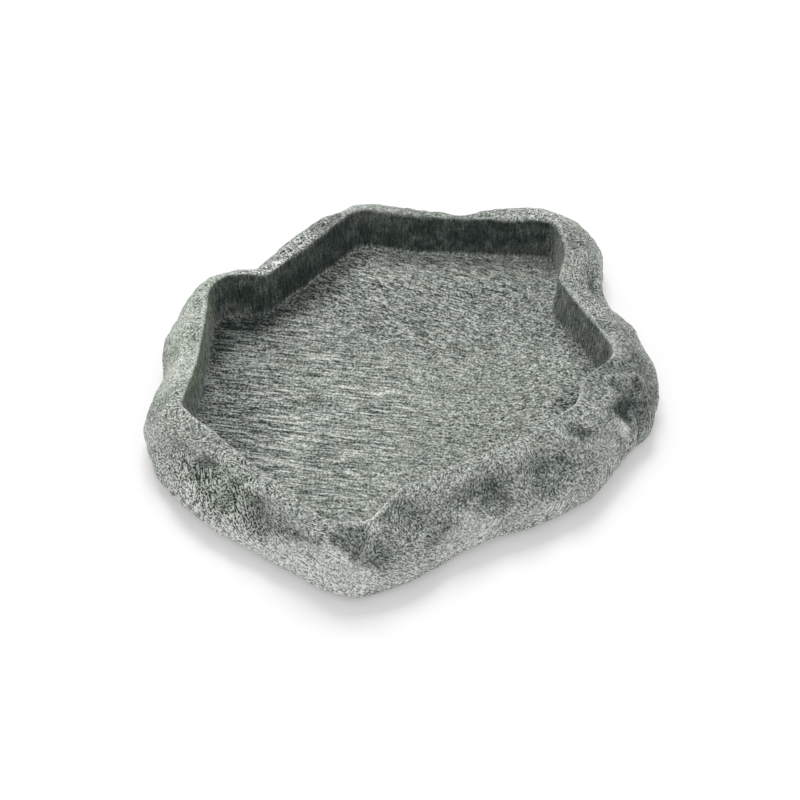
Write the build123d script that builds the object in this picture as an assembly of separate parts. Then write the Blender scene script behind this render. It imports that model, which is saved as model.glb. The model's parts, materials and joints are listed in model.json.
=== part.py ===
from build123d import *
import math
import os

# A shallow rock-effect dish for a terrarium: one casting in stone-filled resin, with an irregular basin
# open at the top, standing on five stick-on rubber feet. Millimetres, +Z up, origin on the table under the
# middle of the dish, -Y towards the front.

# ---- Driving dimensions ----

# Overall plan of the casting. The outlines below are drawn for the "drawn" sizes and stretched to these.
dish_length = 200.0
dish_width = 191.0
drawn_length = 200.0
drawn_width = 191.0

# The rim: its height above the table at the basin's edge, and how far its upper face falls from the middle
# of the plan to that edge, which lies this share of the way out
rim_height = 28.2
rim_fall = 2.4
rim_edge_share = 0.85

# The outer wall: the belly's height above the table, the shoulder's and brow's drop below the rim, and how
# far each lies between the crest of the rim (0) and the belly (1)
belly_height = 7.0
shoulder_drop = 9.5
shoulder_share = 0.7
brow_drop = 3.7
brow_share = 0.28
top_share = -0.6
tuck = 3.5

# The basin
floor_thickness = 6.75
basin_floor_radius = 1.2

# The ground ring left round the underside, and the relief inside it
ring_width = 18.5
relief_depth = 1.5

# Stick-on feet: a rubber disc on an adhesive disc, let into a round pocket in the ring
pad_diameter = 12.0
pad_thickness = 2.5
pad_bevel = 0.4
adhesive_thickness = 0.25
pocket_depth = 1.5
pocket_clearance = 0.3

# ---- Heights that follow from them ----

stand_off = pad_thickness + adhesive_thickness - pocket_depth
basin_floor = stand_off + floor_thickness
tool_clearance = 3.0
tool_top = rim_height + rim_fall + tool_clearance

# ---- Outlines ----

# The rock's outer form, anticlockwise from the right. Each station has a point on the crest of the rim and
# the point below it on the belly, where the wall stands furthest out.
STATIONS = {
    "right": ((91, -8), (100, -10.5)),
    "right_back": ((90, 8), (99.5, 9)),
    "right_shoulder": ((84, 20), (95.5, 25)),
    "right_flank": ((77, 33), (89, 38)),
    "right_notch": ((71.5, 45), (82.5, 51)),
    "back_right_side": ((75, 60), (82, 65)),
    "back_right": ((71, 74), (79.5, 81)),
    "back_right_top": ((58, 83), (65, 91)),
    "back_swell": ((40, 84), (42, 93.5)),
    "back_dip": ((20, 81.5), (20, 90)),
    "back_middle": ((-2, 85), (-2, 94.5)),
    "back_left": ((-18, 86.5), (-20, 95.5)),
    "back_left_flank": ((-33, 77), (-40, 85)),
    "back_left_low": ((-46, 63), (-54, 69.5)),
    "left_notch": ((-58.5, 50), (-65, 58.5)),
    "left_top": ((-68.5, 49), (-74.5, 58.5)),
    "left_back": ((-79, 42), (-87, 47)),
    "left_side": ((-86, 27), (-94.5, 30)),
    "left_waist": ((-86.5, 8), (-95.5, 9)),
    "left_low": ((-89, -8), (-98.5, -6)),
    "left": ((-91.5, -22), (-100, -22)),
    "left_front": ((-82, -38), (-92, -43)),
    "front_left_upper": ((-65, -54), (-73, -63)),
    "front_left_middle": ((-46, -71), (-54, -76)),
    "front_left_lower": ((-32, -83), (-36, -88)),
    "front": ((-17, -86.5), (-17, -95.5)),
    "front_turn": ((-5, -80.5), (-1, -90)),
    "front_notch": ((7, -69.5), (13, -82)),
    "front_right_lower": ((24, -60.5), (30, -70.5)),
    "front_right_middle": ((46, -50), (51, -62)),
    "front_right_upper": ((65, -38), (72, -49)),
    "right_front": ((76, -26), (83, -35)),
    "right_dent": ((82, -17.5), (90, -24.5)),
}

# Corners of the basin, clockwise from the left. Each has its point and the radius of its turn at the rim, then
# the same at the floor. The small radii are the noses of rock that stand into the basin.
BASIN_CORNERS = [
    ((-85.5, -21.5), 4.0, (-82.5, -20.5), 4.0),
    ((-79.5, 2.0), 60.0, (-79.0, 1.5), 60.0),
    ((-76.5, 46.5), 12.0, (-75.4, 39.8), 6.0),
    ((-54.0, 45.2), 0.8, (-54.8, 42.8), 1.5),
    ((-18.5, 84.0), 10.0, (-17.5, 81.0), 9.0),
    ((4.0, 79.5), 30.0, (4.0, 77.5), 30.0),
    ((62.5, 76.5), 7.0, (62.0, 73.8), 6.0),
    ((66.0, 60.0), 15.0, (64.2, 59.5), 15.0),
    ((62.0, 44.0), 1.0, (61.0, 43.8), 1.5),
    ((83.5, 5.5), 6.0, (81.5, 6.0), 5.0),
    ((69.5, -9.5), 4.0, (68.0, -8.5), 4.0),
    ((67.0, -20.5), 5.0, (65.4, -19.2), 5.0),
    ((46.0, -38.5), 25.0, (45.2, -36.3), 25.0),
    ((0.5, -61.0), 2.0, (-0.8, -58.8), 2.5),
    ((-13.0, -77.5), 6.0, (-14.0, -75.0), 6.0),
    ((-28.0, -77.5), 7.0, (-27.2, -75.0), 6.0),
]

# The number of faces that the outer wall is divided into, and the grid that the rim's upper face is fitted
# through, which reaches past the dish on each side
ring_spans = 11
rim_grid_steps = 16
rim_grid_margin = 20.0

# Gentle swells and dips of the rim: centre, reach and rise
RIM_SWELLS = [
    ((-80, 40), 30, 1.2),
    ((68, 74), 28, 0.8),
    ((20, 84), 22, -0.9),
    ((4, -64), 24, -1.0),
    ((92, 0), 26, 0.6),
]

# The stations that have a foot under them
FOOT_STATIONS = ["front", "left", "back_left", "back_right", "right"]


# ---- Helpers ----


def stretched(point):
    """A drawn point at the dish's own length and width."""
    x, y = point
    return x * dish_length / drawn_length, y * dish_width / drawn_width


def drawn_in(point, distance):
    """A point moved towards the middle of the dish."""
    x, y = point
    share = 1 - distance / math.hypot(x, y)
    return x * share, y * share


def crest(station):
    return stretched(STATIONS[station][0])


def belly(station):
    return stretched(STATIONS[station][1])


def between(start, end, share):
    return tuple(a + (b - a) * share for a, b in zip(start, end))


def ring_face(points, height):
    """A flat face at one height inside the smooth closed curve through the points, cut into spans so that
    no single face runs all the way round the dish."""
    curve = Spline(*[(x, y, height) for x, y in points], periodic=True).edge()
    cuts = [i / ring_spans for i in range(ring_spans + 1)]
    return make_face([curve.trim(start, end) for start, end in zip(cuts, cuts[1:])])


def rim_surface_height(x, y):
    """The height of the rim's upper face, which falls away outwards and swells here and there."""
    share_out = math.hypot(2 * x / dish_length, 2 * y / dish_width) / rim_edge_share
    height = rim_height + rim_fall * (1 - share_out**2)
    for centre, reach, rise in RIM_SWELLS:
        across, along = stretched(centre)
        distance = math.hypot(x - across, y - along)
        height += rise * math.exp(-((distance / reach) ** 2))
    return height


# ---- The casting ----


def rock_form():
    """The outer form, lofted from the underside up past the rim."""
    sections = [ring_face([drawn_in(belly(n), tuck) for n in STATIONS], stand_off)]
    profile = [
        (belly_height, 1),
        (rim_height - shoulder_drop, shoulder_share),
        (rim_height - brow_drop, brow_share),
        (rim_height, 0),
        (tool_top, top_share),
    ]
    for height, share in profile:
        sections.append(ring_face([between(crest(n), belly(n), share) for n in STATIONS], height))
    return loft(sections)


def rim_tool():
    """Everything above the rim's upper face, which is a smooth surface through a grid of points."""
    offsets = [2 * i / rim_grid_steps - 1 for i in range(rim_grid_steps + 1)]
    xs = [offset * (dish_length / 2 + rim_grid_margin) for offset in offsets]
    ys = [offset * (dish_width / 2 + rim_grid_margin) for offset in offsets]
    grid = [[Vector(x, y, rim_surface_height(x, y)) for y in ys] for x in xs]
    surface = Face.make_surface_from_array_of_points(grid)
    return extrude(surface, amount=tool_top, dir=(0, 0, 1))


def corner_face(points, radii, height):
    """A flat face at one height inside straight runs with a rounded turn at each point."""
    corners = [(*stretched(point), height) for point in points]
    outline = FilletPolyline(*corners, radius=radii, close=True)
    return make_face(outline.edges())


def basin_tool():
    """The space inside the basin, with leaning walls and a small radius round the floor."""
    rim_points, rim_radii, floor_points, floor_radii = [list(column) for column in zip(*BASIN_CORNERS)]
    edge = corner_face(rim_points, rim_radii, rim_height)
    space = loft([corner_face(floor_points, floor_radii, basin_floor), edge], ruled=True)
    space = fillet(space.faces().sort_by(Axis.Z)[0].edges(), basin_floor_radius)
    return space + extrude(edge, amount=tool_top - rim_height)


def relief_tool():
    """The shallow relief in the underside, inside the ground ring."""
    inset = tuck + ring_width
    outline = ring_face([drawn_in(belly(n), inset) for n in STATIONS], stand_off)
    return extrude(outline, amount=relief_depth, dir=(0, 0, 1))


def foot_centre(station):
    return drawn_in(belly(station), tuck + ring_width / 2)


def disc(station, diameter, bottom, thickness):
    x, y = foot_centre(station)
    cylinder = Cylinder(diameter / 2, thickness, align=(Align.CENTER, Align.CENTER, Align.MIN))
    return Pos(x, y, bottom) * cylinder


def dish_casting():
    body = rock_form() - rim_tool() - basin_tool() - relief_tool()
    for station in FOOT_STATIONS:
        body -= disc(station, pad_diameter + 2 * pocket_clearance, stand_off, pocket_depth)
    return body


# ---- The feet ----


def foot_pad(station):
    pad = disc(station, pad_diameter, 0, pad_thickness)
    return chamfer(pad.edges().sort_by(Axis.Z)[0], pad_bevel)


def foot_adhesive(station):
    return disc(station, pad_diameter, pad_thickness, adhesive_thickness)


def main():
    pieces = {"dish_casting": dish_casting()}
    for station in FOOT_STATIONS:
        pieces[f"foot_pad_{station}"] = foot_pad(station)
        pieces[f"foot_adhesive_{station}"] = foot_adhesive(station)
    os.makedirs("parts", exist_ok=True)
    for name, piece in pieces.items():
        export_step(piece, f"parts/{name}.step")


main()
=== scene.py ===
# %% [markdown]
# # A rock-effect dish for a terrarium
#
# The real dish is one casting in stone-filled polyester resin. A rubber mould was taken from a carved and
# combed original, the resin was poured in from the back, and the cast was coloured by hand: a grey coat, a
# dark wash that stays in the hollows, and a pale dry-brushing that catches the ridges. Five stick-on rubber
# feet keep it off the glass.
#
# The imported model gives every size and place. This lesson gives the casting its worn, dented surface and
# its paint, and the feet their rubber.

# %% Load the frame
import json
import math

import bpy
import numpy as np
from mathutils import Matrix, Vector, noise


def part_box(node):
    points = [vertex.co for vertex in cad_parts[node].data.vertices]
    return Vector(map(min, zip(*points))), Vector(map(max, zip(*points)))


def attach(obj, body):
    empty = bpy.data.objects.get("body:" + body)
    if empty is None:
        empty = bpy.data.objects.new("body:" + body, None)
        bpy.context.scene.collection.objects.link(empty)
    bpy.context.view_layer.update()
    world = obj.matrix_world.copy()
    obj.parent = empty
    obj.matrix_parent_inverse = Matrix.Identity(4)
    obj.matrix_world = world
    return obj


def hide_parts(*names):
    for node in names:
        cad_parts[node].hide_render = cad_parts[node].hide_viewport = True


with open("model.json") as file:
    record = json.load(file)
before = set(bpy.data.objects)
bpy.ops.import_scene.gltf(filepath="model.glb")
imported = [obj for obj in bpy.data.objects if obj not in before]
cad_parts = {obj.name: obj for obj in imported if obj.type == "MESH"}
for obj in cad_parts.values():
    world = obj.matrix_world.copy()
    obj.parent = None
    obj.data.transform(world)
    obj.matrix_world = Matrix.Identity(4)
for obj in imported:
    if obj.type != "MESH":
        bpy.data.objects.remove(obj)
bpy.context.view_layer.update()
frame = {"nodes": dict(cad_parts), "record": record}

mm = 0.001
mounts = {mount["name"]: Vector(mount["pos_m"]) for mount in frame["record"]["mounts"]}
basin_floor = mounts["basin_floor"].z

# %% [markdown]
# ## Camera
#
# A shallow dish is seen best from about fifty degrees above, where the basin's floor, its far wall and the
# near outer wall all show. A long lens keeps the outline from spreading. The camera could be aimed by a
# constraint, but a plain tilt is enough, because it looks straight along +Y.

# %% Set the camera
tilt_down = math.radians(50)
camera_distance = 1.0
camera_aim = Vector((-1.0 * mm, -5.5 * mm, 12 * mm))
towards_camera = Vector((0, -math.cos(tilt_down), math.sin(tilt_down)))
bpy.ops.object.camera_add(
    location=camera_aim + camera_distance * towards_camera, rotation=(math.pi / 2 - tilt_down, 0, 0)
)
camera = bpy.context.object
camera.name = "camera"
camera.data.sensor_width = 36
camera.data.lens = 114.75
camera.data.clip_start = 0.05
bpy.context.scene.camera = camera
print("camera", [round(value, 3) for value in camera.location])

# %% [markdown]
# ## Materials by nodes
#
# Three helpers serve every material. Colours are written as sRGB hex, as a paint chart gives them, and
# turned to linear light once, here. A node is added with its settings and its inputs in one call. An input
# is named or numbered, and is filled with a plain value, another node, or one of its outputs.

# %% Colour and node helpers
def paint(hex_colour):
    """An sRGB hex colour as linear RGBA."""
    parts = [int(hex_colour[i : i + 2], 16) / 255 for i in (1, 3, 5)]
    linear = [part / 12.92 if part <= 0.04045 else ((part + 0.055) / 1.055) ** 2.4 for part in parts]
    return (*linear, 1)


def add(tree, kind, inputs=None, **settings):
    """Adds a node with its settings, and sets or links its inputs."""
    node = tree.nodes.new(kind)
    for name, value in settings.items():
        setattr(node, name, value)
    for name, value in (inputs or {}).items():
        by_name = (socket for socket in node.inputs if socket.enabled and socket.name == name)
        socket = node.inputs[name] if isinstance(name, int) else next(by_name)
        if isinstance(value, bpy.types.Node):
            value = next(output for output in value.outputs if output.enabled)
        if isinstance(value, bpy.types.NodeSocket):
            tree.links.new(value, socket)
        else:
            socket.default_value = value
    return node


def empty_tree(owner):
    """The cleared node tree of a material or world."""
    owner.use_nodes = True
    owner.node_tree.nodes.clear()
    return owner.node_tree


# %% [markdown]
# ## Studio
#
# Such a dish is shown on a white sweep under broad soft light. The floor and the world look white to the
# camera, to glossy reflections and through glass, while the lamps light the dish at a plain level. The key
# stands high behind the dish and a little to the left, so the basin's far wall faces away from it, and the
# shadow falls softly to the front.

# %% White floor and world
# A share of the paper's look is a glow that only shows, so it stays white where no shadow falls
floor_size = 6.0
floor_white = 0.98
floor_glow = 0.22
glow_strength = 1.06


def seen_share(tree):
    """A value of 1 for rays that show the surface itself, and 0 for rays that only carry its light."""
    path = add(tree, "ShaderNodeLightPath").outputs
    seen_or_mirrored = {0: path["Is Camera Ray"], 1: path["Is Glossy Ray"]}
    shown = add(tree, "ShaderNodeMath", seen_or_mirrored, operation="MAXIMUM")
    return add(tree, "ShaderNodeMath", {0: shown, 1: path["Is Transmission Ray"]}, operation="MAXIMUM")


bpy.ops.mesh.primitive_plane_add(size=floor_size, location=(0, 0, 0))
studio_floor = bpy.context.object
studio_floor.name = "studio_floor"
sweep = bpy.data.materials.new("white paper sweep")
tree = empty_tree(sweep)
paper = add(tree, "ShaderNodeBsdfDiffuse", {"Color": (floor_white, floor_white, floor_white, 1)})
glow = add(tree, "ShaderNodeEmission", {"Color": (1, 1, 1, 1), "Strength": glow_strength})
share = add(tree, "ShaderNodeMath", {0: seen_share(tree), 1: floor_glow}, operation="MULTIPLY")
sheet = add(tree, "ShaderNodeMixShader", {0: share, 1: paper, 2: glow})
add(tree, "ShaderNodeOutputMaterial", {"Surface": sheet})
studio_floor.data.materials.append(sweep)

ambient = 0.55
world = bpy.data.worlds.new("studio")
bpy.context.scene.world = world
tree = empty_tree(world)
room = add(tree, "ShaderNodeBackground", {"Color": (1, 1, 1, 1), "Strength": ambient})
backdrop = add(tree, "ShaderNodeBackground", {"Color": (1, 1, 1, 1), "Strength": 1.0})
both = add(tree, "ShaderNodeMixShader", {0: seen_share(tree), 1: room, 2: backdrop})
add(tree, "ShaderNodeOutputWorld", {"Surface": both})
print("studio floor and world set")

# %% Soft lamps
# name, place in metres, side of the square lamp in metres, watts
LAMPS = [
    ("key", (-0.2, 1.3, 2.1), 1.1, 33.0),
    ("fill", (-0.3, -1.6, 1.9), 2.2, 7.0),
]
for name, spot, side, watts in LAMPS:
    bpy.ops.object.light_add(type="AREA", location=spot)
    lamp = bpy.context.object
    lamp.name = name
    lamp.rotation_euler = (-Vector(spot)).to_track_quat("-Z", "Y").to_euler()
    lamp.data.shape = "SQUARE"
    lamp.data.size = side
    lamp.data.energy = watts
print("lamps", [name for name, *_ in LAMPS])

# %% [markdown]
# ## The casting's skin
#
# The CAD casting has the true outline, rim and basin, but its wall is as smooth as turned plaster. The real
# one was modelled by hand. It could be sculpted with brushes, which a script can't repeat, or built from
# curves, which would lose the CAD shape. Here a copy of the CAD node is merged and remeshed into an even
# skin of small squares, like a layer of wax, and drawn back onto the CAD surface so that the rim's inner
# edge and the foot of the basin's wall stay crisp. Everything after that is pressing and rubbing the wax.

# %% Helpers for working on one piece
def only(piece):
    """Selects one piece and nothing else."""
    bpy.ops.object.select_all(action="DESELECT")
    bpy.context.view_layer.objects.active = piece
    piece.select_set(True)


def shape_with(piece, kind, **settings):
    """Adds a modifier with its settings and applies it."""
    only(piece)
    bpy.ops.object.modifier_add(type=kind)
    modifier = piece.modifiers[-1]
    for name, value in settings.items():
        setattr(modifier, name, value)
    bpy.ops.object.modifier_apply(modifier=modifier.name)


# %% Remesh the casting
skin_grid = 1.0 * mm
casting = frame["nodes"]["dish_casting"]
rock = bpy.data.objects.new("rock_dish", casting.data.copy())
bpy.context.collection.objects.link(rock)
rock.data.materials.clear()
only(rock)
bpy.ops.object.mode_set(mode="EDIT")
bpy.ops.mesh.select_all(action="SELECT")
bpy.ops.mesh.remove_doubles(threshold=0.001 * mm)
bpy.ops.object.mode_set(mode="OBJECT")
shape_with(rock, "REMESH", mode="VOXEL", voxel_size=skin_grid, adaptivity=0)
shape_with(rock, "SHRINKWRAP", target=casting, wrap_method="NEAREST_SURFACEPOINT")
print("skin", len(rock.data.vertices), "points", len(rock.data.polygons), "faces")

# %% [markdown]
# ## Which part of the casting is which
#
# The rim, the outer wall, the basin's wall, its floor and the underside were carved and painted in
# different ways, so each needs its own mask. They could be painted by hand or split into pieces. Reading
# them from the place and direction of each point is exact and follows any change of shape. Averaging a
# mask with its neighbours a few times softens its border, as a brush does.

# %% Read the skin as arrays
def read(piece, what):
    """A three-number property of every point of a piece, as an array."""
    values = np.empty(len(piece.data.vertices) * 3, dtype=np.float32)
    piece.data.vertices.foreach_get(what, values)
    return values.reshape(-1, 3)


def soften(values, rounds):
    """Each point's value, averaged with its neighbours' the given number of times."""
    values = values.astype(np.float32)
    share = neighbour_count.reshape(-1, *[1] * (values.ndim - 1))
    for _ in range(rounds):
        total = np.zeros_like(values)
        np.add.at(total, edge_start, values[edge_end])
        np.add.at(total, edge_end, values[edge_start])
        values = (values + total / share) / 2
    return values


edges = np.empty(len(rock.data.edges) * 2, dtype=np.int32)
rock.data.edges.foreach_get("vertices", edges)
edge_start, edge_end = edges.reshape(-1, 2).T
neighbour_count = np.bincount(edges, minlength=len(rock.data.vertices)).astype(np.float32)

place = read(rock, "co")
facing = read(rock, "normal")
height = place[:, 2]
outward = place[:, :2] / np.linalg.norm(place[:, :2], axis=1, keepdims=True)
faces_out = (facing[:, :2] * outward).sum(axis=1) > 0
flat_enough = 0.6
is_level = facing[:, 2] > flat_enough
is_under = facing[:, 2] < -flat_enough
is_steep = ~is_level & ~is_under
is_floor = is_level & (height < basin_floor + 2 * mm)
is_basin_wall = is_steep & ~faces_out & (height > basin_floor)
is_outside = (is_steep & ~is_basin_wall) | (is_level & ~is_floor)
print("points: floor", is_floor.sum(), "basin wall", is_basin_wall.sum(), "outside", is_outside.sum())

# %% [markdown]
# ## Rounding the rim
#
# On the original the rim rolls over into the outer wall, and only its inner edge is crisp. A bevel would
# give an even, machined roll, so the brow is rubbed down with the Smooth modifier instead, held off the
# inner edge by a vertex group, which works like a mask of tape.

# %% Rub down the brow
def mask_off(piece, name, weights):
    """Stores one weight for each point in a vertex group, in steps of a hundredth, and returns its name."""
    group = piece.vertex_groups.new(name=name)
    steps = np.round(np.clip(weights, 0, 1) * 100).astype(int)
    for step in range(1, 101):
        chosen = np.flatnonzero(steps == step)
        if len(chosen):
            group.add(chosen.tolist(), step / 100, "REPLACE")
    return group.name


def rising(values, start, reach):
    """0 up to the start, 1 from the reach beyond it, and even between. A negative reach runs downwards."""
    return np.clip((values - start) / reach, 0, 1)


# The tape covers the basin's wall and the few points next to it. Above 12 mm the rubbing starts, and from
# 20 mm up it is full.
off_the_edge = np.clip(1 - 6 * soften(is_basin_wall, 4), 0, 1)
brow = soften(is_outside * rising(height, 12 * mm, 8 * mm), 3) * off_the_edge
shape_with(rock, "SMOOTH", factor=0.5, iterations=40, vertex_group=mask_off(rock, "brow", brow))
print("brow points", int((brow > 0.5).sum()))

# %% [markdown]
# ## Dents
#
# The outer wall is knapped into shallow scoops with soft ridges between them, as if a thumb had been
# dragged through clay. Each is listed by its bearing round the dish, in degrees anticlockwise from +X, its
# height above the table, its half width and half height, and its depth. Their outlines are made to wander,
# since a true oval looks stamped. Where two meet the deeper wins, so that a ridge stays between them. They
# could be cut with Boolean modifiers, but those leave sharp rims and a ragged mesh. Here they are weights in
# one vertex group, and a Displace modifier presses them all.

# %% Press the dents
# bearing in degrees, height, half width, half height and depth in millimetres
DENTS = [
    (203, 14, 11, 9, 1.4),
    (216, 24, 9, 11, 3.0),
    (223, 19, 11, 9, 2.3),
    (234, 20, 15, 9, 2.3),
    (244, 20, 12, 8, 1.8),
    (257, 27, 9, 10, 2.4),
    (264, 21, 8, 7, 1.9),
    (270, 27, 11, 12, 3.0),
    (281, 17, 11, 9, 1.6),
    (290, 25, 8, 9, 1.5),
    (298, 24, 11, 13, 3.2),
    (316, 23, 13, 12, 3.0),
    (322, 24, 9, 9, 2.2),
    (332, 28, 6, 7, 2.2),
    (350, 23, 11, 14, 3.1),
    (355, 13, 10, 10, 2.2),
    (12, 20, 12, 11, 2.2),
    (27, 17, 12, 12, 2.7),
    (44, 23, 10, 10, 2.0),
    (58, 15, 13, 10, 2.0),
    (74, 19, 12, 11, 2.6),
    (91, 14, 15, 9, 2.0),
    (108, 19, 11, 11, 2.3),
    (124, 16, 12, 10, 2.4),
    (143, 21, 10, 10, 2.0),
    (158, 15, 13, 11, 2.2),
    (175, 17, 11, 11, 1.9),
    (190, 21, 10, 10, 1.9),
]


def wander(points, lump, reach):
    """A smooth random offset for each point, which changes over the given lump size."""
    return reach * np.array([noise.noise_vector(Vector(point) / lump) for point in points], dtype=np.float32)


def patches(rows):
    """How deep each point lies in the listed patches of the outside, in the rows' last unit."""
    deepest = np.zeros(len(place), dtype=np.float32)
    for towards, up, half_width, half_height, amount in rows:
        turned = np.abs((bearing - towards + 180) % 360 - 180)
        misses = turned + np.abs(height / mm - up)
        middle = place[np.argmin(np.where(is_outside, misses, np.inf))]
        across = np.linalg.norm(wandering[:, :2] - middle[:2], axis=1) / (half_width * mm)
        along = (wandering[:, 2] - middle[2]) / (half_height * mm)
        deepest = np.maximum(deepest, amount * np.clip(1 - across**2 - along**2, 0, 1))
    return deepest


# A fixed seed, so that the outlines wander the same way each time
wander_seed = 1
noise.seed_set(wander_seed)
place = read(rock, "co")
height = place[:, 2]
bearing = np.degrees(np.arctan2(place[:, 1], place[:, 0])) % 360
# A broad wandering of up to 5 mm, and a finer one over it
wandering_more = wander(place, 14 * mm, 5 * mm)
wandering = place + wandering_more + wander(place, 5 * mm, 1.5 * mm)
greatest = max(depth for *_, depth in DENTS)
dent_depth = soften(patches(DENTS) * is_outside * off_the_edge, 2) / greatest
dents = mask_off(rock, "dents", dent_depth)
shape_with(rock, "DISPLACE", strength=-greatest * mm, mid_level=0, vertex_group=dents)
print("dents", len(DENTS), "up to", greatest, "mm deep")

# %% [markdown]
# ## Lumps
#
# Between the dents the stone is uneven at every size. Listing each lump, as the dents are, would take over
# a thousand rows, and nobody looks for one lump in its place, so three Displace modifiers do this. Two
# have cloud textures, for broad lumps about as wide as a thumb and small ones of a few millimetres. The
# third has a Voronoi texture, whose cells meet in ridges, as the scoops of a gouge do. The basin was combed
# flat, so a vertex group lets only a little of all three into it.

# %% Roughen the stone
# texture, then lump size and height in millimetres
LUMPS = {
    "broad lumps": ("CLOUDS", 16, 1.6),
    "scoops": ("VORONOI", 15, 1.8),
    "small lumps": ("CLOUDS", 4, 0.7),
}
# All of the lumps outside, and less on the basin's wall, the underside and the floor
rough = np.select([is_outside, is_basin_wall, is_under], [1.0, 0.45, 0.1], default=0.12)
rough_stone = mask_off(rock, "rough stone", soften(rough, 3))
for name, (pattern, size, lift) in LUMPS.items():
    texture = bpy.data.textures.new(name, pattern)
    texture.noise_scale = size * mm
    shape_with(
        rock, "DISPLACE", texture=texture, texture_coords="LOCAL", strength=lift * mm, mid_level=0.5,
        vertex_group=rough_stone,
    )
only(rock)
bpy.ops.object.shade_smooth()
print("stone roughened", len(rock.data.polygons), "faces")

# %% [markdown]
# ## Where the paint lies
#
# A thin dark wash runs into hollows and stays there, and a nearly dry brush leaves pale paint on whatever
# stands proud. How hollow a point is can be read by comparing it with its neighbours' average: a hollow
# lies below that, a ridge above it. The basin's far wall has wash and painted shade, darkest where it faces
# the front, away from the key, and the floor has painted shadow to the left, at the back, along the back
# left wall and in the right corner. A few places were darkened, brushed pale or tinted green by hand; some
# dark patches on the right side are painted shade, the pale patches low on the outer wall are dry-brushing
# with painted light, and the rim's inner edge has a painted highlight.
# The results are stored on the skin as attributes that the material reads, so the paint follows the shape.

# %% List the patches of paint, painted light and painted shade
# bearing in degrees, height, half width and half height in millimetres, strength
# Pale patches of dry-brushing; the low ones round the front and sides, up to about 13 mm, are also painted
# light, where the white floor lights the lower wall
PALE_AND_LIT_PATCHES = [
    (250, 13, 26, 13, 2.5),
    (214, 10, 24, 9, 0.4),
    (199, 16, 16, 12, 0.3),
    (233, 7, 28, 9, 1.0),
    (268, 9, 18, 9, 0.5),
    (243, 5, 22, 7, 1.5),
    (289, 10, 26, 9, 0.7),
    (312, 10, 24, 9, 0.4),
    (331, 11, 18, 10, 0.2),
    (335, 20, 9, 12, 0.4),
    (342, 17, 4, 10, 0.9),
    (6, 29, 6, 5, 0.4),
    (180, 24, 20, 14, 0.7),
    (153, 29, 20, 10, 0.3),
    (60, 9, 30, 8, 0.6),
    (100, 24, 18, 9, 0.5),
    (150, 10, 28, 8, 0.6),
    (165, 24, 25, 9, 0.5),
    (20, 8, 20, 7, 0.5),
]
# Dark patches of wash; those round the right side, from bearing 305 to 44, are painted shade, where that side
# faces away from the key
DARK_AND_SHADED_PATCHES = [
    (2, 29.5, 30, 14, 0.9),
    (358, 27, 18, 12, 1.0),
    (40, 25, 10, 8, 0.6),
    (44, 29, 12, 9, 0.7),
    (350, 22, 26, 18, 0.7),
    (330, 25, 24, 13, 0.45),
    (305, 24, 26, 12, 0.3),
    (269, 29.5, 22, 14, 0.5),
    (258, 24, 17, 12, 0.7),
    (243, 25, 14, 10, 0.45),
    (104, 29.5, 30, 12, 0.9),
    (86, 29.5, 26, 12, 0.8),
    (70, 29.5, 22, 10, 0.6),
    (122, 28, 16, 10, 0.4),
    (225, 24, 30, 12, 0.3),
    (208, 26, 18, 12, 0.35),
    (30, 24, 22, 14, 0.5),
]
# Painted highlights along the rim's inner edge
EDGE_HIGHLIGHTS = [
    (262, 29, 16, 10, 1.2),
    (338, 29, 14, 10, 1.2),
    (180, 27, 40, 10, 0.4),
    (10, 29, 40, 10, 0.5),
]
GREEN_PATCHES = [
    (178, 26, 26, 16, 1.0),
    (156, 26, 20, 12, 0.9),
    (70, 26, 18, 9, 0.2),
    (222, 22, 20, 9, 0.3),
]
# where the grain is cut boldest
BOLD_PATCHES = [
    (222, 11, 44, 22, 1.1),
    (250, 10, 28, 14, 1.0),
    (130, 15, 45, 25, 1.0),
    (30, 15, 30, 20, 0.7),
]
print("patches: pale", len(PALE_AND_LIT_PATCHES), "dark", len(DARK_AND_SHADED_PATCHES), "green", len(GREEN_PATCHES))


# %% Find the hollows and ridges
def hollowness(rounds):
    """How far each point lies below the average of its surroundings, in metres."""
    return ((soften(place, rounds) - place) * facing).sum(axis=1)


place = read(rock, "co")
facing = read(rock, "normal")
on_floor = soften(is_floor, 2)
on_wall = soften(is_basin_wall, 2)
off_wall = 1 - 0.8 * on_wall
# In shares of the depth at which a hollow is full of wash. Below 0 they are ridges.
fine_hollow = hollowness(3) / (0.12 * mm)
broad_hollow = hollowness(60) / (0.6 * mm)
print("hollows: fine", int((fine_hollow > 1).sum()), "broad", int((broad_hollow > 1).sum()), "points")

# %% Lay the wash, the dry brush and the painted light and shade
faces_left, faces_front, _ = np.clip(-soften(facing, 6), 0, 1).T
x, y, _ = place.T / mm
# Distances in millimetres from the basin's right corner, and from the line of its back left wall
right_corner = np.hypot(x - 65, y + 4)
back_left_wall = 0.59 * (x + 59) - 0.81 * (y - 37)
# How much painted shadow lies in each pool of the floor, and along what measure, from where and over what
# reach it deepens, in millimetres. The pools stand in for the shadows of the walls on the floor and the
# shade in its right corner. The strip under the far wall gets less, as the key's shadow of that wall
# already falls there.
SHADE_POOLS = {
    "left": (0.5, x, -42, -30),
    "back": (0.2, y, 15, 30),
    "under the far wall": (-0.3, y, 58, 6),
    "right corner": (0.7, right_corner, 9, -9),
    "back left wall": (0.45 * rising(x, -12, -8), back_left_wall, 9, -9),
}
thinnest_wash = 0.1
floor_wash_and_shade = thinnest_wash + sum(depth * rising(*measure) for depth, *measure in SHADE_POOLS.values())

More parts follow.
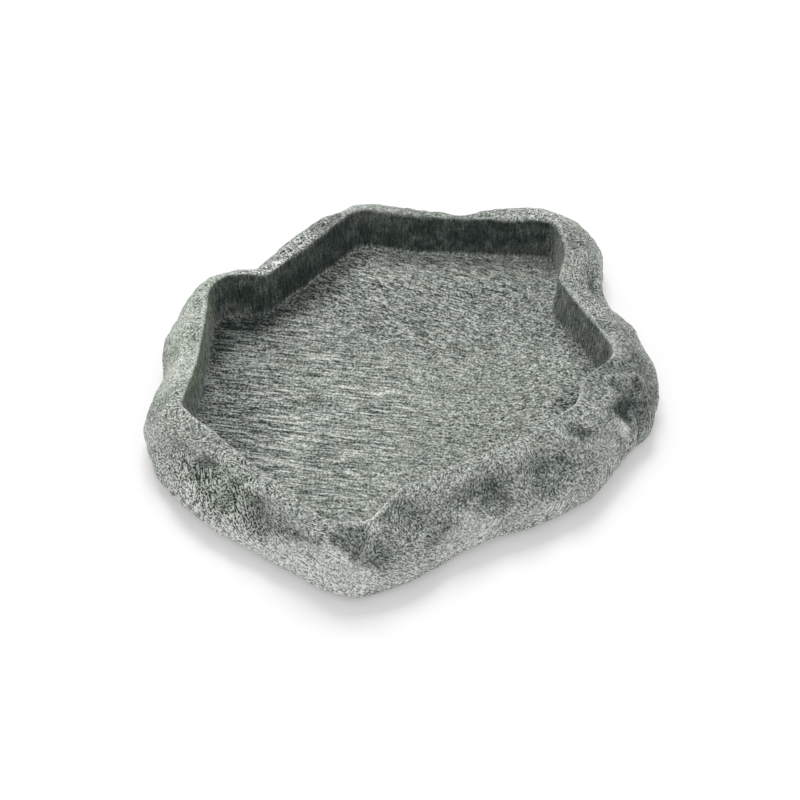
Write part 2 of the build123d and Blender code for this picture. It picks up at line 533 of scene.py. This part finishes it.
# Wash with painted shade on the basin's wall: darkest where the wall faces the front, away from the key,
# lighter where it faces left, towards the key, and a little lighter away from the left wall
wall_wash_and_shade = np.clip(0.15 + 1.2 * faces_front, 0, 1) - 0.3 * faces_left - 0.12 * rising(x, -60, -10)
wall_wash_and_shade *= rising(height, basin_floor, 2 * mm)

# Wash in the dents and hollows, and in the dark patches with their painted shade
outside_wash_and_shade = 0.25 * soften(dent_depth, 12) + 0.8 * soften(patches(DARK_AND_SHADED_PATCHES), 10)
outside_wash_and_shade += 0.2 * np.clip(broad_hollow, 0, 1) + 0.2 * np.clip(fine_hollow, 0, 1)
# All the wash, with the painted shade on the floor, on the far wall and on the right side
wash_and_shade = on_floor * floor_wash_and_shade + on_wall * wall_wash_and_shade + (1 - on_wall) * (1 - on_floor) * outside_wash_and_shade

# The rim's inner edge is where half of a point's neighbours belong to the basin's wall
near_wall = soften(is_basin_wall, 1)
inner_edge = 4 * near_wall * (1 - near_wall) * (height > basin_floor + 12 * mm)
# Dry brush on the ridges and in the pale patches, with painted light low on the outer wall, and a painted
# highlight on the rim's inner edge
brushed_and_lit = off_wall * (0.35 * np.clip(-fine_hollow, 0, 1) + (1 - on_floor) * patches(PALE_AND_LIT_PATCHES))
brushed_and_lit += inner_edge * patches(EDGE_HIGHLIGHTS)
print("washed", int((wash_and_shade > 0.5).sum()), "brushed_and_lit", int((brushed_and_lit > 0.5).sum()), "points")


# %% Store the paint masks
def store(piece, name, values):
    """Keeps one number for each point of a piece as an attribute."""
    attribute = piece.data.attributes.new(name, "FLOAT", "POINT")
    attribute.data.foreach_set("value", np.clip(values, 0, 1).astype(np.float32))


# The floor's combings pass into each other over about 40 mm, along a wandering line. The cut is bold in its
# patches, and a little low down all round.
ragged_x, ragged_y, _ = (place + 3 * wandering_more).T / mm
MASKS = {
    "on_floor": on_floor,
    "on_wall": on_wall,
    "underneath": soften(is_under, 3),
    # The wash with its painted shade, and the dry brush with its painted light and highlights
    "wash_and_shade": wash_and_shade,
    "brushed_and_lit": brushed_and_lit,
    "green": patches(GREEN_PATCHES) * (1 - on_floor),
    "bold": patches(BOLD_PATCHES) + 0.25 * rising(height, 16 * mm, -8 * mm),
    "combed_back": (ragged_y + 0.6 * ragged_x) / 40,
    "combed_right": (ragged_x - 0.6 * ragged_y) / 50,
}
for name, values in MASKS.items():
    store(rock, name, values)
print("masks", list(MASKS))

# %% [markdown]
# ## Combed grain
#
# The original was combed and stippled, so the cast has a grain less than a millimetre wide. The floor was
# combed in three directions, with long strokes on the left and short ones across to the right. The strokes
# are upright on the basin's wall, and around the outside they lie in small patches, each turned its own
# way. They could be modelled, but that would take millions of faces. Each is a noise stretched to the size
# of its stroke instead, and a speckle of sand grains lies over all of them.

# %% Comb the floor
stone = bpy.data.materials.new("stone-filled polyester resin, washed and dry-brushed")
tree = empty_tree(stone)
coords = add(tree, "ShaderNodeTexCoord").outputs["Object"]
mask = {name: add(tree, "ShaderNodeAttribute", attribute_name=name).outputs["Fac"] for name in MASKS}

# direction in degrees from +X, stroke length and width in millimetres
COMBINGS = {"left": (-8, 7.5, 0.7), "back": (-22, 2.8, 0.7), "right": (-3, 1.5, 0.6)}
combed = {}
for name, (direction, length, width) in COMBINGS.items():
    stroke = [side * mm for side in (length, width, width)]
    strokes = add(
        tree, "ShaderNodeMapping",
        {"Vector": coords, "Rotation": (0, 0, math.radians(direction)), "Scale": stroke},
        vector_type="TEXTURE",
    )
    combed[name] = add(
        tree, "ShaderNodeTexNoise", {"Vector": strokes, "Scale": 1.0, "Detail": 1.0, "Distortion": 0.5}
    )
floor_grain = add(
    tree, "ShaderNodeMix", {"Factor": mask["combed_back"], "A": combed["left"], "B": combed["back"]}
)
floor_grain = add(
    tree, "ShaderNodeMix", {"Factor": mask["combed_right"], "A": floor_grain, "B": combed["right"]}
)
print("combings", COMBINGS)

# %% Stroke the basin's wall
upright_stroke = [0.7 * mm, 0.7 * mm, 6 * mm]
upright = add(
    tree, "ShaderNodeMapping", {"Vector": coords, "Scale": upright_stroke}, vector_type="TEXTURE"
)
wall_grain = add(tree, "ShaderNodeTexNoise", {"Vector": upright, "Scale": 1.0, "Detail": 1.0})
print("upright strokes", [round(side / mm, 2) for side in upright_stroke], "mm")

# %% Stroke the outside
# Around the outside, a place is an arc along the wall and a height less a reach, which grows all the way up
# the wall and over the rim. Patches of it are turned at random, as a carver turns the tool.
mean_radius = 95 * mm
patch_size = 8 * mm
ragged_size = 5 * mm
ragged_reach = 6 * mm
short_stroke = (2.2 * mm, 0.65 * mm, 1.0)
where = add(tree, "ShaderNodeSeparateXYZ", {0: coords}).outputs
frontward = add(tree, "ShaderNodeMath", {0: where["Y"], 1: -1.0}, operation="MULTIPLY")
turn = add(tree, "ShaderNodeMath", {0: where["X"], 1: frontward}, operation="ARCTAN2")
along = add(tree, "ShaderNodeMath", {0: turn, 1: mean_radius}, operation="MULTIPLY")
flat = add(tree, "ShaderNodeVectorMath", {0: coords, 1: (1, 1, 0)}, operation="MULTIPLY")
reach = add(tree, "ShaderNodeVectorMath", {0: flat}, operation="LENGTH").outputs["Value"]
up_and_over = add(tree, "ShaderNodeMath", {0: where["Z"], 1: reach}, operation="SUBTRACT")
unrolled = add(tree, "ShaderNodeCombineXYZ", {"X": along, "Y": up_and_over})
ragged = add(tree, "ShaderNodeTexNoise", {"Vector": unrolled, "Scale": 1 / ragged_size, "Detail": 2.0})
shifted = add(
    tree, "ShaderNodeVectorMath",
    {0: ragged.outputs["Color"], 1: [ragged_reach] * 3, 2: unrolled}, operation="MULTIPLY_ADD",
)
patchwork = add(
    tree, "ShaderNodeTexVoronoi", {"Vector": shifted, "Scale": 1 / patch_size}, voronoi_dimensions="2D"
)
chance = add(tree, "ShaderNodeSeparateXYZ", {0: patchwork.outputs["Color"]}).outputs["X"]
# How far the patches turn, in radians: any way at all where the cut is light, and nearly the same way where
# it is bold
any_way = math.pi
nearly_one_way = 0.9
lean = 0.3
spread = add(tree, "ShaderNodeMapRange", {"Value": mask["bold"], "To Min": any_way, "To Max": nearly_one_way})
off_lean = add(tree, "ShaderNodeMath", {0: chance, 1: 0.5}, operation="SUBTRACT")
angle = add(tree, "ShaderNodeMath", {0: off_lean, 1: spread, 2: lean}, operation="MULTIPLY_ADD")
turned = add(tree, "ShaderNodeVectorRotate", {"Vector": unrolled, "Angle": angle}, rotation_type="Z_AXIS")
short_strokes = add(
    tree, "ShaderNodeMapping", {"Vector": turned, "Scale": short_stroke}, vector_type="TEXTURE"
)
outside_grain = add(
    tree, "ShaderNodeTexNoise",
    {"Vector": short_strokes, "Scale": 1.0, "Detail": 1.0, "Roughness": 0.7}, noise_dimensions="2D",
)
print("short strokes", [round(side / mm, 2) for side in short_stroke[:2]], "mm")

# %% Join the grains
# The filler's grains are about 0.2 mm, which is too fine to show, so they are drawn coarser
sand_size = 0.75 * mm
sand_share = 0.4
sand = add(tree, "ShaderNodeTexNoise", {"Vector": coords, "Scale": 1 / sand_size, "Detail": 0.0})
grain = add(tree, "ShaderNodeMix", {"Factor": mask["on_floor"], "A": outside_grain, "B": floor_grain})
grain = add(tree, "ShaderNodeMix", {"Factor": mask["on_wall"], "A": grain, "B": wall_grain})
grain = add(tree, "ShaderNodeMix", {"Factor": sand_share, "A": grain, "B": sand})

# Noise lies close to its middle grey, so it is spread out: more where the tool was pressed harder, and on
# the floor more where the wash and painted shadow lie
outside_contrast = add(tree, "ShaderNodeMapRange", {"Value": mask["bold"], "To Min": 3.0, "To Max": 9.0})
floor_contrast = add(tree, "ShaderNodeMapRange", {"Value": mask["wash_and_shade"], "To Min": 2.6, "To Max": 5.3})
wall_contrast = 2.2
contrast = add(
    tree, "ShaderNodeMix", {"Factor": mask["on_floor"], "A": outside_contrast, "B": floor_contrast}
)
contrast = add(tree, "ShaderNodeMix", {"Factor": mask["on_wall"], "A": contrast, "B": wall_contrast})
centred = add(tree, "ShaderNodeMath", {0: grain, 1: 0.5}, operation="SUBTRACT")
grain = add(
    tree, "ShaderNodeMath", {0: centred, 1: contrast, 2: 0.5}, operation="MULTIPLY_ADD", use_clamp=True
)
print("grain joined, with sand of", round(sand_size / mm, 2), "mm")

# %% [markdown]
# ## Paint
#
# Stone-filled polyester is matt and slightly chalky, with an IOR of about 1.5. Its colour could be painted
# by hand in Blender, but that would be lost whenever the shape changed. Here the painter's steps are nodes,
# in the painter's order: a grey coat, darkest between the strokes and palest on top of them, then the wash
# with painted shade, then the dry brush with painted light and highlights. The underside was never painted,
# and shows bare resin with pinholes.

# %% Coat the stone
# From the wash left between the strokes to the paint on top of them
RAMP = [(0.0, "#2b342f"), (0.35, "#778078"), (0.65, "#adb2ab"), (1.0, "#e9ece6")]
ramp = add(tree, "ShaderNodeValToRGB", {0: grain})
while len(ramp.color_ramp.elements) < len(RAMP):
    ramp.color_ramp.elements.new(0.5)
for element, (position, hex_colour) in zip(ramp.color_ramp.elements, RAMP):
    element.position = position
    element.color = paint(hex_colour)
colour = ramp

# Broad clouds where the coat was mixed darker, and smaller blotches where it turned pinkish
cloud_size = 30 * mm
blotch_size = 7 * mm
clouds = add(tree, "ShaderNodeTexNoise", {"Vector": coords, "Scale": 1 / cloud_size, "Detail": 2.0})
blotches = add(tree, "ShaderNodeTexNoise", {"Vector": coords, "Scale": 1 / blotch_size, "Detail": 3.0})
cloudy = add(
    tree, "ShaderNodeMapRange", {"Value": clouds, "From Min": 0.35, "From Max": 0.65, "To Max": 0.25}
)
pinkish = add(
    tree, "ShaderNodeMapRange", {"Value": blotches, "From Min": 0.52, "From Max": 0.7, "To Max": 0.35}
)
for share, tint in [(cloudy, "#b9bdb6"), (pinkish, "#f2e4e2"), (mask["green"], "#cbe0c4")]:
    colour = add(
        tree, "ShaderNodeMix", {"Factor": share, "A": colour, "B": paint(tint)}, data_type="RGBA",
        blend_type="MULTIPLY",
    )
print("coat of", len(RAMP), "tones")

# %% Wash and dry-brush it, with painted shade and painted light
# The wash and painted shade, broken up by the blotches
uneven = add(
    tree, "ShaderNodeMapRange",
    {"Value": blotches, "From Min": 0.35, "From Max": 0.65, "To Min": 0.8, "To Max": 1.1},
)
wash_and_shade_colour = add(
    tree, "ShaderNodeMix", {"Factor": cloudy, "A": paint("#586660"), "B": paint("#5f6680")}, data_type="RGBA"
)
wash_and_shade_share = add(tree, "ShaderNodeMath", {0: mask["wash_and_shade"], 1: uneven}, operation="MULTIPLY", use_clamp=True)
colour = add(
    tree, "ShaderNodeMix", {"Factor": wash_and_shade_share, "A": colour, "B": wash_and_shade_colour}, data_type="RGBA",
    blend_type="MULTIPLY",
)

# The dry brush, painted light and painted highlights, which only take where the grain stands up
takes = add(tree, "ShaderNodeMapRange", {"Value": grain, "To Min": 0.25, "To Max": 1.0})
brush_and_light_share = add(
    tree, "ShaderNodeMath", {0: mask["brushed_and_lit"], 1: takes}, operation="MULTIPLY", use_clamp=True
)
colour = add(
    tree, "ShaderNodeMix", {"Factor": brush_and_light_share, "A": colour, "B": paint("#eef1ec")}, data_type="RGBA"
)
print("washed and brushed")

# %% Bare resin underneath
# Paler where the filler settled, with pinholes left by air bubbles, drawn coarse enough to show
bubble_spacing = 4.5 * mm
settling = add(
    tree, "ShaderNodeMix", {"Factor": blotches, "A": paint("#7d827c"), "B": paint("#9da19b")},
    data_type="RGBA",
)
bubbles = add(tree, "ShaderNodeTexVoronoi", {"Vector": coords, "Scale": 1 / bubble_spacing})
pinholes = add(
    tree, "ShaderNodeMapRange", {"Value": bubbles.outputs["Distance"], "From Min": 0.07, "From Max": 0.12}
)
bare = add(
    tree, "ShaderNodeMix", {"Factor": pinholes, "A": paint("#434742"), "B": settling}, data_type="RGBA"
)
colour = add(
    tree, "ShaderNodeMix", {"Factor": mask["underneath"], "A": colour, "B": bare}, data_type="RGBA"
)
print("bare resin, with pinholes about", round(bubble_spacing / mm, 1), "mm apart")

# %% Finish the stone
# The grain and the pinholes are a quarter of a millimetre deep, and paint on the ridges is a little smoother
relief = add(tree, "ShaderNodeMix", {"Factor": mask["underneath"], "A": grain, "B": pinholes})
bump = add(tree, "ShaderNodeBump", {"Height": relief, "Strength": 0.4, "Distance": 0.25 * mm})
roughness = add(tree, "ShaderNodeMapRange", {"Value": grain, "To Min": 0.85, "To Max": 0.62})
surface = add(
    tree, "ShaderNodeBsdfPrincipled",
    {"Base Color": colour, "Roughness": roughness, "IOR": 1.5, "Specular IOR Level": 0.35, "Normal": bump},
)
add(tree, "ShaderNodeOutputMaterial", {"Surface": surface})
rock.data.materials.append(stone)
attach(rock, "root")
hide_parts("dish_casting")
print("rock dish painted")

# %% [markdown]
# ## Rubber feet
#
# Each foot is a die-cut disc of soft black rubber, 12 mm across. Its lower edge is rounded, and a shallow
# dimple in its lower face lets it grip like a sucker. The disc could be turned on a lathe profile, but a
# cylinder with its lower face bevelled and inset is quicker. One is modelled, and the rest are copies.

# %% Model one foot
foot_nodes = [node for node in frame["nodes"] if node.startswith("foot_pad_")]
low, high = [Vector(corner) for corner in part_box(foot_nodes[0])]
first_centre = (low + high) / 2
bpy.ops.object.select_all(action="DESELECT")
bpy.ops.mesh.primitive_cylinder_add(
    vertices=64, radius=(high.x - low.x) / 2, depth=high.z - low.z, location=first_centre
)
first_foot = bpy.context.object
for face in first_foot.data.polygons:
    face.select = face.normal.z < -0.9
bpy.ops.object.mode_set(mode="EDIT")
bpy.ops.mesh.select_mode(type="FACE")
bpy.ops.mesh.bevel(offset=0.5 * mm, segments=4, affect="EDGES")
bpy.ops.object.mode_set(mode="OBJECT")
smallest_flat = 10 * mm * mm
for face in first_foot.data.polygons:
    face.select = face.normal.z < -0.99 and face.area > smallest_flat
bpy.ops.object.mode_set(mode="EDIT")
# how far in each ring of the dimple lies from the last, and how far it rises, in millimetres
DIMPLE = [(2.0, 0.0), (0.8, 0.35), (1.0, 0.1)]
for inwards, rise in DIMPLE:
    bpy.ops.mesh.inset(thickness=inwards * mm, depth=0)
    bpy.ops.transform.translate(value=(0, 0, rise * mm))
bpy.ops.object.mode_set(mode="OBJECT")
bpy.ops.object.transform_apply(location=True, rotation=True, scale=True)
bpy.ops.object.shade_smooth_by_angle(angle=math.radians(35))
print("foot", len(first_foot.data.polygons), "faces")

# %% [markdown]
# Soft rubber is nearly black and matt, with an IOR of 1.52. Its pores show as a faint grain, and pale dust
# clings to it in patches.

# %% Rubber material and copies
rubber = bpy.data.materials.new("soft black rubber, die-cut")
tree = empty_tree(rubber)
coords = add(tree, "ShaderNodeTexCoord").outputs["Object"]
dust = add(tree, "ShaderNodeTexNoise", {"Vector": coords, "Scale": 1 / (2.5 * mm), "Detail": 4.0})
pores = add(tree, "ShaderNodeTexNoise", {"Vector": coords, "Scale": 1 / (0.4 * mm), "Detail": 2.0})
dusty = add(tree, "ShaderNodeMapRange", {"Value": dust, "From Min": 0.45, "From Max": 0.7, "To Max": 0.35})
colour = add(
    tree, "ShaderNodeMix", {"Factor": dusty, "A": paint("#1b1b1c"), "B": paint("#4a4946")}, data_type="RGBA"
)
roughness = add(tree, "ShaderNodeMapRange", {"Value": dust, "To Min": 0.6, "To Max": 0.9})
bump = add(tree, "ShaderNodeBump", {"Height": pores, "Strength": 0.4, "Distance": 0.05 * mm})
surface = add(
    tree, "ShaderNodeBsdfPrincipled",
    {"Base Color": colour, "Roughness": roughness, "IOR": 1.52, "Normal": bump},
)
add(tree, "ShaderNodeOutputMaterial", {"Surface": surface})
first_foot.data.materials.append(rubber)

for node in foot_nodes:
    foot = first_foot
    if node != foot_nodes[0]:
        low, high = [Vector(corner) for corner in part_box(node)]
        foot = bpy.data.objects.new(node, first_foot.data.copy())
        foot.data.transform(Matrix.Translation((low + high) / 2 - first_centre))
        bpy.context.collection.objects.link(foot)
    foot.name = node.replace("foot_pad", "rubber_foot")
    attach(foot, "root")
    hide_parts(node)
print("feet", len(foot_nodes))

# %% [markdown]
# ## Adhesive
#
# Above each foot is a disc of acrylic adhesive film, a quarter of a millimetre thick and hidden once the
# foot is on. The CAD disc already has its shape, so it only gets its material. That is milky and a little
# see-through, with an IOR of 1.47.

# %% Adhesive material
glue = bpy.data.materials.new("acrylic adhesive film")
tree = empty_tree(glue)
coords = add(tree, "ShaderNodeTexCoord").outputs["Object"]
ripple = add(tree, "ShaderNodeTexNoise", {"Vector": coords, "Scale": 1 / (1.5 * mm), "Detail": 3.0})
colour = add(
    tree, "ShaderNodeMix", {"Factor": ripple, "A": paint("#dcdacb"), "B": paint("#c9c5b0")}, data_type="RGBA"
)
roughness = add(tree, "ShaderNodeMapRange", {"Value": ripple, "To Min": 0.35, "To Max": 0.55})
surface = add(
    tree, "ShaderNodeBsdfPrincipled",
    {"Base Color": colour, "Roughness": roughness, "IOR": 1.47, "Subsurface Weight": 0.2,
     "Subsurface Scale": 0.5 * mm},
)
add(tree, "ShaderNodeOutputMaterial", {"Surface": surface})
for node, piece in frame["nodes"].items():
    if node.startswith("foot_adhesive_"):
        piece.data.materials.clear()
        piece.data.materials.append(glue)
print("adhesive set")

# %% Colour handling
bpy.context.scene.view_settings.view_transform = "Standard"
